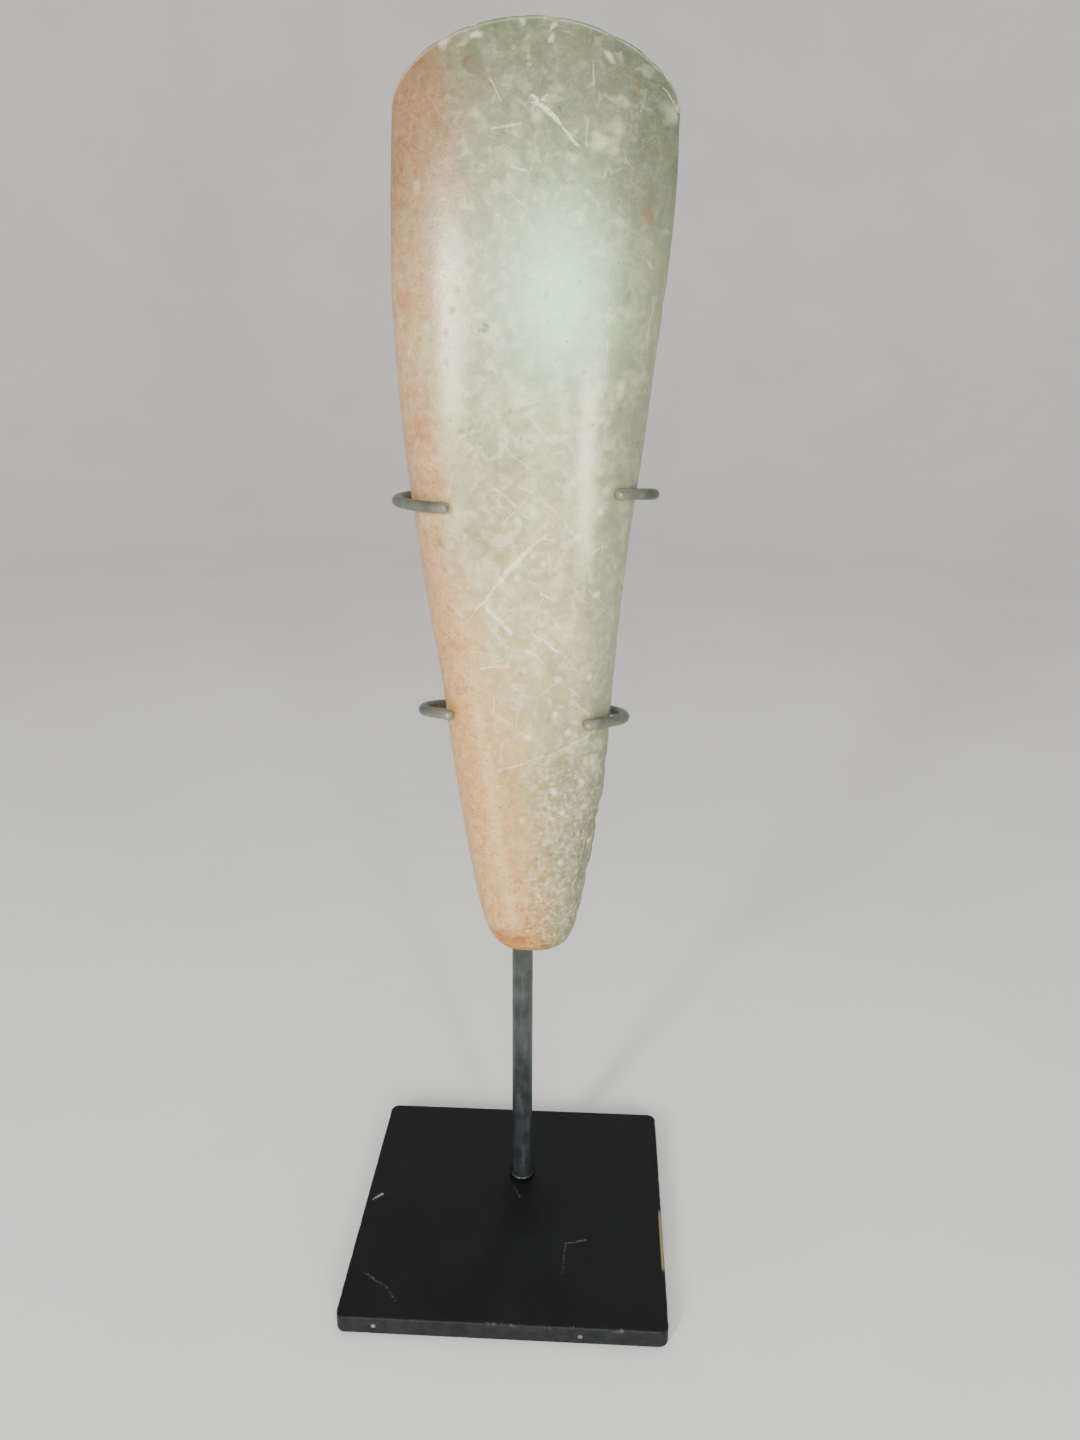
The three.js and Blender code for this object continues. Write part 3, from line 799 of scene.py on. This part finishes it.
class Shader:
    """A small helper that adds nodes to one material and links them."""

    def __init__(self, name):
        self.material = bpy.data.materials.new(name)
        self.material.use_nodes = True
        self.tree = self.material.node_tree

    def put(self, socket, value):
        """Links a socket to another node's output, or sets it to a constant."""
        if hasattr(value, "is_output"):
            self.tree.links.new(value, socket)
        else:
            socket.default_value = value

    def add(self, kind, inputs, output=0, **settings):
        """Adds a node, fills those of its inputs that have a value, and returns one output."""
        made = self.tree.nodes.new(kind)
        for key, value in settings.items():
            setattr(made, key, value)
        for key, value in inputs.items():
            if value is not None:
                self.put(made.inputs[key], value)
        return made.outputs[output]

    def math(self, operation, a, b=None, clamp=False):
        return self.add("ShaderNodeMath", {0: a, 1: b}, operation=operation, use_clamp=clamp)

    def fold(self, operation, result, *others):
        for other in others:
            result = self.math(operation, result, other)
        return result

    def times(self, *values):
        return self.fold("MULTIPLY", *values)

    def plus(self, *values):
        return self.fold("ADD", *values)

    def most(self, *values):
        return self.fold("MAXIMUM", *values)

    def vector(self, operation, a, b=None, scale=None):
        output = "Value" if operation in ("LENGTH", "DOT_PRODUCT") else "Vector"
        inputs = {0: a, 1: b, "Scale": scale}
        return self.add("ShaderNodeVectorMath", inputs, output, operation=operation)

    def ramp(self, value, low, high, to_low=0.0, to_high=1.0):
        """A smooth step from to_low, at low, to to_high, at high."""
        inputs = dict(enumerate((value, low, high, to_low, to_high)))
        return self.add("ShaderNodeMapRange", inputs, interpolation_type="SMOOTHSTEP")

    def mix(self, share, a, b):
        """Colour a, with a share of colour b over it."""
        return self.add("ShaderNodeMix", {"Factor": share, 6: a, 7: b}, 2, data_type="RGBA")

    def layers(self, colour, *layers):
        """A colour with further ones over it, each given as its share and its screen colour."""
        for share, screen in layers:
            colour = self.mix(share, colour, rgb(*screen))
        return colour

    def field(self, name, strength=None):
        """A field of the piece's vertices, times a strength."""
        made = self.add("ShaderNodeAttribute", {}, "Fac", attribute_name=name)
        return made if strength is None else self.times(made, strength)

    def place_mm(self):
        """The surface point in the row frame, in millimetres."""
        return self.vector("SCALE", self.add("ShaderNodeTexCoord", {}, "Object"), scale=1000.0)

    def split(self, place):
        """The three coordinates of a place."""
        return self.add("ShaderNodeSeparateXYZ", {0: place}).node.outputs

    def noise(self, place, size, detail=4.0, rough=0.55, warp=0.0):
        """Noise from 0 to 1 with features about size across."""
        inputs = {"Vector": place, "Scale": 1.0 / size}
        inputs |= {"Detail": detail, "Roughness": rough, "Distortion": warp}
        return self.add("ShaderNodeTexNoise", inputs, "Fac")

    def cells(self, place, size):
        """Distance from the middle of the nearest of scattered cells, as a share of size."""
        inputs = {"Vector": place, "Scale": 1.0 / size}
        return self.add("ShaderNodeTexVoronoi", inputs, "Distance", feature="F1")

    def spots(self, place, size, radius, chance, soft=0.35):
        """Round spots: one per cell, in some of the cells."""
        away = self.cells(place, size)
        near = self.ramp(away, radius / size, radius * (1 - soft) / size)
        pick = self.add("ShaderNodeSeparateColor", {0: away.node.outputs["Color"]})
        strength = self.ramp(pick.node.outputs[1], 0.0, 1.0, 0.45, 1.0)
        return self.times(near, self.math("LESS_THAN", pick, chance), strength)

    def threads(self, place, turn, width, size=5.0):
        """Fine straight scratches on a level face, from a stretched pattern of cells."""
        inputs = {"Vector": place, "Rotation": (0, 0, math.radians(turn))}
        turned = self.add("ShaderNodeMapping", inputs)
        away = self.cells(self.vector("MULTIPLY", turned, (1.0, 1.0 / 9, 0.2)), size)
        return self.ramp(away, width / size, 0.3 * width / size)

    def stroke(self, name):
        """Scratch lines from the three fields that nearest_stroke made."""
        line = self.ramp(self.math("ABSOLUTE", self.field(name + "_aside")), 1.0, 0.3)
        inside = self.ramp(self.field(name + "_past"), 0.45, 0.1)
        return self.times(line, inside, self.field(name + "_strength"))

    def mark(self, flat, start, end, width):
        """A straight mark between two places (x, y) on the plate's top, in millimetres."""
        run = (end[0] - start[0], end[1] - start[1], 0.0)
        away = self.vector("SUBTRACT", flat, (*start, 0.0))
        along = self.vector("DOT_PRODUCT", away, run)
        share = self.math("DIVIDE", along, run[0] ** 2 + run[1] ** 2, clamp=True)
        nearest = self.vector("SCALE", run, scale=share)
        gap = self.vector("LENGTH", self.vector("SUBTRACT", away, nearest))
        return self.ramp(gap, width, 0.25 * width)

    def bump(self, height, strength):
        """A surface normal tilted by a height in millimetres."""
        inputs = {"Strength": strength, "Distance": MM, "Height": height}
        return self.add("ShaderNodeBump", inputs)

    def finish(self, **sockets):
        """Fills the named inputs of the material's surface and returns the material."""
        surface = self.tree.nodes["Principled BSDF"]
        for name, value in sockets.items():
            self.put(surface.inputs[name.replace("_", " ")], value)
        return self.material


def rgb(*screen):
    """A screen colour, each part from 0 to 255, as the linear colour that a shader takes."""
    linear = [v / 255 / 12.92 if v < 10 else ((v / 255 + 0.055) / 1.055) ** 2.4 for v in screen]
    return (*linear, 1.0)


def stone_body(s, clouds, mottle):
    """Grey-green with soft clouds: beige low down, greener to the right, more olive by the edge and
    darkened there by painted shade.
    """
    return s.layers(
        s.mix(s.ramp(clouds, 0.3, 0.7), rgb(156, 156, 122), rgb(180, 178, 144)),
        (s.field("warm", 0.68), (200, 177, 130)),
        (s.ramp(mottle, 0.46, 0.66, 0.0, 0.75), (214, 210, 180)),
        (s.ramp(mottle, 0.46, 0.3, 0.0, 0.5), (134, 136, 104)),
        (s.ramp(s.field("across"), 0.45, 0.95, 0.0, 0.5), (152, 164, 138)),
        (s.field("edge_olive_and_shade", 0.6), (126, 138, 112)),
        # Painted highlight: a blue-green glow on the upper front
        (s.field("painted_highlight", 0.95), (184, 246, 196)),
    )


def stone_patina(s, place):
    """Tan with a fine mottle, warmer low down, and browner by the edge, where painted shade also
    darkens it.
    """
    broad = s.noise(place, 9.0, 5.0, 0.6, 0.5)
    fine = s.noise(place, 2.4, 5.0, 0.68)
    return s.layers(
        s.mix(s.ramp(broad, 0.3, 0.7), rgb(188, 148, 117), rgb(206, 173, 143)),
        (s.field("warm", 0.66), (216, 170, 124)),
        (s.ramp(fine, 0.5, 0.7, 0.0, 0.6), (160, 114, 82)),
        (s.ramp(fine, 0.5, 0.32, 0.0, 0.45), (236, 204, 168)),
        (s.field("edge_olive_and_shade", 0.5), (164, 122, 92)),
    )


def pale_share(s, place, clouds, patina, fine_flecks):
    """Veins, flecks and blotches, paler off the patina and outside the painted shade."""
    vein = s.math("ABSOLUTE", s.math("SUBTRACT", s.noise(place, 6.5, 5.0, 0.55, 1.6), 0.5))
    vein = s.times(s.ramp(vein, 0.05, 0.0), s.ramp(clouds, 0.36, 0.52), 0.12)
    flecks = s.times(s.spots(place, 4.2, 1.0, 0.3, 0.8), 0.42)
    blotches = s.ramp(s.noise(place, 3.2, 3.0, 0.5, 0.5), 0.48, 0.76)
    blotches = s.times(blotches, s.ramp(clouds, 0.4, 0.56, 0.22, 0.6))
    blotches = s.times(blotches, s.ramp(patina, 0.0, 1.0, 1.0, 0.4))
    pale = s.most(vein, flecks, fine_flecks, blotches)
    return s.times(pale, s.ramp(s.field("painted_shade"), 0.5, 1.0, 0.5, 0.85))


def dark_share(s, place, grain, patina):
    """Pores and specks, more of them on the patina."""
    pores = s.times(s.spots(place, 3.6, 0.45, 0.2, 0.5), 0.7)
    peppered = s.ramp(s.times(patina, s.field("warm")), 0.1, 0.9, 0.2, 0.95)
    fine_pores = s.times(s.spots(place, 1.5, 0.36, 0.42, 0.5), peppered)
    specks = s.times(s.ramp(s.noise(place, 0.9, 2.0, 0.7), 0.4, 0.3, 0.0, 0.65), patina)
    return s.most(pores, fine_pores, specks, s.ramp(grain, 0.42, 0.3, 0.0, 0.16))


def scratch_share(s, place):
    """Scratches and hairlines, broken up along their length."""
    broken = s.ramp(s.noise(place, 1.3, 3.0, 0.6), 0.36, 0.56, 0.25, 1.0)
    return s.times(s.most(s.stroke("stroke"), s.times(s.stroke("hair"), 0.26)), broken)


def stone_material():
    """Ground greenstone: grey-green with a tan patina, veins, pits, pecking and scratches."""
    s = Shader("greenstone")
    place = s.place_mm()
    patina, pecked = s.field("patina"), s.field("pecked")
    clouds = s.noise(place, 21.0, 5.0, 0.6, 0.6)
    mottle = s.noise(place, 5.0, 6.0, 0.62, 0.9)
    grain = s.noise(place, 1.1, 4.0, 0.6)
    pecks = s.noise(place, 1.5, 3.0, 0.65)
    peck_share = s.ramp(pecked, 0.25, 0.9)
    fine_flecks = s.times(s.spots(place, 2.1, 0.65, 0.5, 0.7), s.ramp(pecked, 0.15, 0.8, 0.12, 0.8))
    dark = dark_share(s, place, grain, patina)
    scratches = scratch_share(s, place)

    tan_share = s.times(patina, s.ramp(mottle, 0.2, 0.6, 0.7, 1.0))
    colour = s.mix(tan_share, stone_body(s, clouds, mottle), stone_patina(s, place))
    colour = s.layers(
        # Painted shade: darker by the cutting edge, on the right and low down
        s.vector("SCALE", colour, scale=s.field("painted_shade")),
        # Painted highlights along the ridges of the front
        (s.field("wear_and_painted_highlight", 0.5), (250, 248, 204)),
        (pale_share(s, place, clouds, patina, fine_flecks), (232, 231, 194)),
        (s.field("pale", 0.48), (238, 238, 208)),
        # Pecking: dark gaps and crushed pale grains between them
        (s.times(s.ramp(pecks, 0.5, 0.36, 0.0, 0.5), peck_share), (112, 104, 66)),
        (s.times(s.ramp(pecks, 0.53, 0.66, 0.0, 0.42), peck_share), (232, 222, 188)),
        (s.times(dark, 0.8), (88, 82, 56)),
        (s.ramp(s.field("pit"), 0.0, 0.9, 0.0, 0.72), (100, 108, 88)),
        (s.field("rust", 0.6), (158, 100, 64)),
        (s.field("brown", 0.6), (112, 86, 64)),
        (s.times(scratches, 0.75), (250, 244, 222)),
    )
    # The view shows colours paler than they are, so these are deepened
    deepened = {"Saturation": 1.24, "Value": 0.9, "Color": colour}

    rough = s.plus(s.ramp(mottle, 0.3, 0.7, 0.27, 0.37), s.times(pecked, 0.2))
    fine = s.times(s.noise(place, 0.55, 3.0, 0.6), s.ramp(pecked, 0.1, 0.9, 0.02, 0.12))
    height = s.plus(
        s.times(grain, 0.05),
        fine,
        s.times(pecks, peck_share, 0.35),
        s.times(dark, -0.14),
        s.times(s.most(fine_flecks, scratches), -0.12),
    )
    return s.finish(
        Base_Color=s.add("ShaderNodeHueSaturation", deepened),
        Roughness=s.math("ADD", rough, s.times(scratches, 0.15), clamp=True),
        Normal=s.bump(height, 0.8),
        IOR=1.58,
        Subsurface_Weight=0.12,
        Subsurface_Radius=(1.0, 0.9, 0.6),
        Subsurface_Scale=0.002,
    )


def paint_marks(s, place):
    """The marks in the paint of the plate's top and the flecks in its front."""
    flat = s.vector("MULTIPLY", place, (1.0, 1.0, 0.0))
    lines = [s.times(s.mark(flat, *line), strength) for *line, strength in PLATE_MARKS]
    marks = s.times(s.most(*lines), s.ramp(s.noise(place, 1.2, 3.0), 0.38, 0.6))
    for fleck_x, fleck_z in FRONT_FLECKS:
        away = s.vector("LENGTH", s.vector("SUBTRACT", place, (fleck_x, -50.0, fleck_z)))
        marks = s.most(marks, s.ramp(away, 0.9, 0.3))
    return marks


def plate_material():
    """Satin black paint on the plate: dust, fine scratches, and chips that show the primer."""
    s = Shader("plate_paint")
    place = s.place_mm()
    x, y, z = s.split(place)
    cloud = s.noise(place, 24.0, 4.0, 0.6, 0.4)
    dust = s.spots(place, 3.0, 0.22, 0.28, 0.6)
    hairs = s.most(s.threads(place, 25, 0.16), s.threads(place, -60, 0.14))
    hairs = s.times(hairs, s.ramp(s.noise(place, 12.0, 2.0), 0.5, 0.66))
    marks = paint_marks(s, place)

    # The upper edge: small chips all round, and a bare stretch on the right
    wide = s.most(s.math("ABSOLUTE", x), s.math("ABSOLUTE", y))
    rim = s.times(s.ramp(wide, 49.0, 49.8), s.ramp(z, 4.6, 5.6))
    chips = s.times(rim, s.ramp(s.noise(place, 2.2, 4.0, 0.7), 0.6, 0.68))
    off_middle = s.math("ABSOLUTE", s.math("SUBTRACT", y, BARE_RIM_MIDDLE))
    stretch = s.ramp(off_middle, BARE_RIM_HALF + 1, BARE_RIM_HALF - 2)
    ragged = s.plus(z, s.times(s.noise(place, 2.4, 3.0, 0.6), 4.0))
    bare = s.times(s.ramp(x, 48.8, 49.2), stretch, s.ramp(ragged, 6.4, 6.9))
    scuffs_and_painted_sheen = s.ramp(s.noise(place, 3.0, 4.0, 0.6), 0.3, 0.7, 0.2, 0.6)

    colour = s.layers(
        s.mix(s.ramp(cloud, 0.35, 0.7), rgb(9, 10, 12), rgb(17, 19, 21)),
        (s.times(dust, 0.35), (108, 108, 106)),
        (s.times(hairs, 0.25), (92, 94, 96)),
        (marks, (150, 149, 140)),
        (s.times(chips, 0.6), (112, 104, 90)),
        (s.times(bare, 0.85), (158, 144, 112)),
        # The sides lighter than the top: scuffs in the paint and a painted sheen
        (s.times(s.ramp(wide, 49.3, 49.9), scuffs_and_painted_sheen), (46, 48, 47)),
    )
    rough = s.math("ADD", s.ramp(cloud, 0.3, 0.7, 0.42, 0.56), s.times(marks, 0.2), clamp=True)
    height = s.plus(s.times(s.noise(place, 0.9, 2.0), 0.03), s.times(s.most(chips, bare), -0.12))
    return s.finish(
        Base_Color=colour,
        Roughness=rough,
        Normal=s.bump(height, 0.7),
        Specular_IOR_Level=0.18,
    )


def steel_material():
    """Dark grey paint rubbed thin on the rod and wires, with brighter worn tips."""
    s = Shader("dark_steel")
    place = s.place_mm()
    above = s.split(place)[2]
    streak = s.noise(s.vector("MULTIPLY", place, (1.0, 1.0, 0.12)), 1.6, 4.0, 0.6)
    cloud = s.ramp(s.noise(place, 7.0, 4.0, 0.6, 0.4), 0.35, 0.65)
    specks = s.spots(place, 1.5, 0.26, 0.25, 0.6)
    # Paint worn off at the wires' tips
    wear_and_painted_highlight = s.times(s.field("worn"), s.ramp(s.noise(place, 1.4, 3.0), 0.3, 0.55, 0.35, 1.0))
    foot = s.mix(cloud, rgb(32, 40, 41), rgb(50, 59, 60))
    shaft = s.mix(cloud, rgb(58, 62, 60), rgb(82, 85, 81))
    wires = s.mix(cloud, rgb(76, 79, 68), rgb(106, 108, 94))
    colour = s.mix(s.ramp(above, 30.0, 110.0), foot, shaft)
    colour = s.layers(
        s.mix(s.ramp(above, 130.0, 175.0), colour, wires),
        (s.ramp(streak, 0.5, 0.7, 0.0, 0.25), (104, 106, 100)),
        (s.times(specks, 0.5), (118, 116, 106)),
        (s.times(wear_and_painted_highlight, 0.62), (150, 144, 124)),
    )
    grain = s.times(s.noise(place, 0.6, 3.0), 0.03)
    height = s.plus(s.times(streak, 0.04), grain, s.times(specks, -0.05))
    rough = s.ramp(streak, 0.3, 0.7, 0.3, 0.44)
    return s.finish(Base_Color=colour, Roughness=rough, Normal=s.bump(height, 0.6), Metallic=0.35)


def build_stage():
    """A plain pale floor that curves up into a plain wall all round."""
    flat, wall, height, columns = 1.3, 2.1, 2.6, 96
    profile = [(0.02, 0.0), (0.5, 0.0), (flat, 0.0)]
    for turn in np.linspace(0, math.pi / 2, 24)[1:]:
        rise = (wall - flat) * (1 - math.cos(turn))
        profile.append((flat + (wall - flat) * math.sin(turn), rise))
    profile.append((wall, height))
    around = np.arange(columns) * 2 * math.pi / columns
    points = [(r * math.cos(a), r * math.sin(a), z) for r, z in profile for a in around]
    faces = ring_faces(len(profile), columns)
    faces.append(tuple(range(columns)))
    floor = link("floor", points, faces)
    s = Shader("pale_floor")
    tone = s.ramp(s.noise(s.place_mm(), 160.0, 3.0), 0.3, 0.7)
    s.finish(Base_Color=s.mix(tone, rgb(238, 236, 234), rgb(243, 241, 239)), Roughness=0.85)
    floor.data.materials.append(s.material)


def softbox(name, place, aim, width, height, power, colour=(1.0, 1.0, 1.0)):
    """A rectangular light at a place, turned towards its aim and unseen by the camera."""
    light = bpy.data.lights.new(name, "AREA")
    light.shape = "RECTANGLE"
    light.size, light.size_y = width, height
    light.energy = power
    light.color = colour
    lamp = bpy.data.objects.new(name, light)
    lamp.location = place
    lamp.rotation_mode = "QUATERNION"
    lamp.rotation_quaternion = (Vector(place) - Vector(aim)).to_track_quat("Z", "Y")
    lamp.visible_camera = False
    bpy.context.scene.collection.objects.link(lamp)


def build_light():
    """Soft studio light: a strip on each side, a front light, one above and a dim pale room."""
    aim, stone_front = (0.0, 0.0, 0.2), (0.0, 0.0, 0.28)
    greenish = (0.93, 1.0, 0.96)
    softbox("left_strip", (-0.50, -1.02, 0.50), aim, 0.13, 0.4, 10.0)
    softbox("right_strip", (0.39, -1.05, 0.27), aim, 0.10, 0.4, 7.5)
    softbox("front_light", (0.03, -1.25, 0.58), stone_front, 0.34, 0.34, 7.5, greenish)
    softbox("top_light", (0.1, 0.3, 1.5), aim, 1.2, 1.2, 6.0)
    world = bpy.data.worlds.new("room")
    world.use_nodes = True
    background = world.node_tree.nodes["Background"].inputs
    background["Color"].default_value = (0.8, 0.8, 0.82, 1.0)
    background["Strength"].default_value = 0.45
    bpy.context.scene.world = world


def build_camera():
    """The camera of the photograph: its lens, place and direction."""
    camera = bpy.data.cameras.new("camera")
    camera.sensor_fit = "AUTO"
    camera.sensor_width = SENSOR_LONG_SIDE
    camera.lens = LENS_PIXELS / max(PHOTO_WIDTH, PHOTO_HEIGHT) * SENSOR_LONG_SIDE
    camera.clip_start, camera.clip_end = 0.01, 20
    down, left, roll = (math.radians(a) for a in (CAMERA_DOWN, CAMERA_LEFT, CAMERA_ROLL))
    level_forward = Vector((-math.sin(left), math.cos(left), 0))
    forward = math.cos(down) * level_forward - math.sin(down) * Vector((0, 0, 1))
    level = Vector((math.cos(left), math.sin(left), 0))
    level_up = level.cross(forward)
    right = math.cos(roll) * level + math.sin(roll) * level_up
    up = math.cos(roll) * level_up - math.sin(roll) * level
    turned = Matrix((right, up, -forward)).transposed()
    holder = bpy.data.objects.new("camera", camera)
    holder.matrix_world = Matrix.Translation(CAMERA_PLACE) @ turned.to_4x4()
    bpy.context.scene.collection.objects.link(holder)
    bpy.context.scene.camera = holder


def dress(piece, node, material):
    """Gives a piece its material and makes it stand for a node of the model."""
    piece.data.materials.append(material)
    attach(piece, "root")
    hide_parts(node)


build_camera()
build_light()
build_stage()

steel = steel_material()
dress(build_stone(), "stone_axe", stone_material())
dress(build_plate(), "base_plate", plate_material())
dress(build_rod(), "support_rod", steel)
dress(build_claw("upper_claw", UPPER_CLAW), "upper_claw_wire", steel)
dress(build_claw("lower_claw", LOWER_CLAW), "lower_claw_wire", steel)
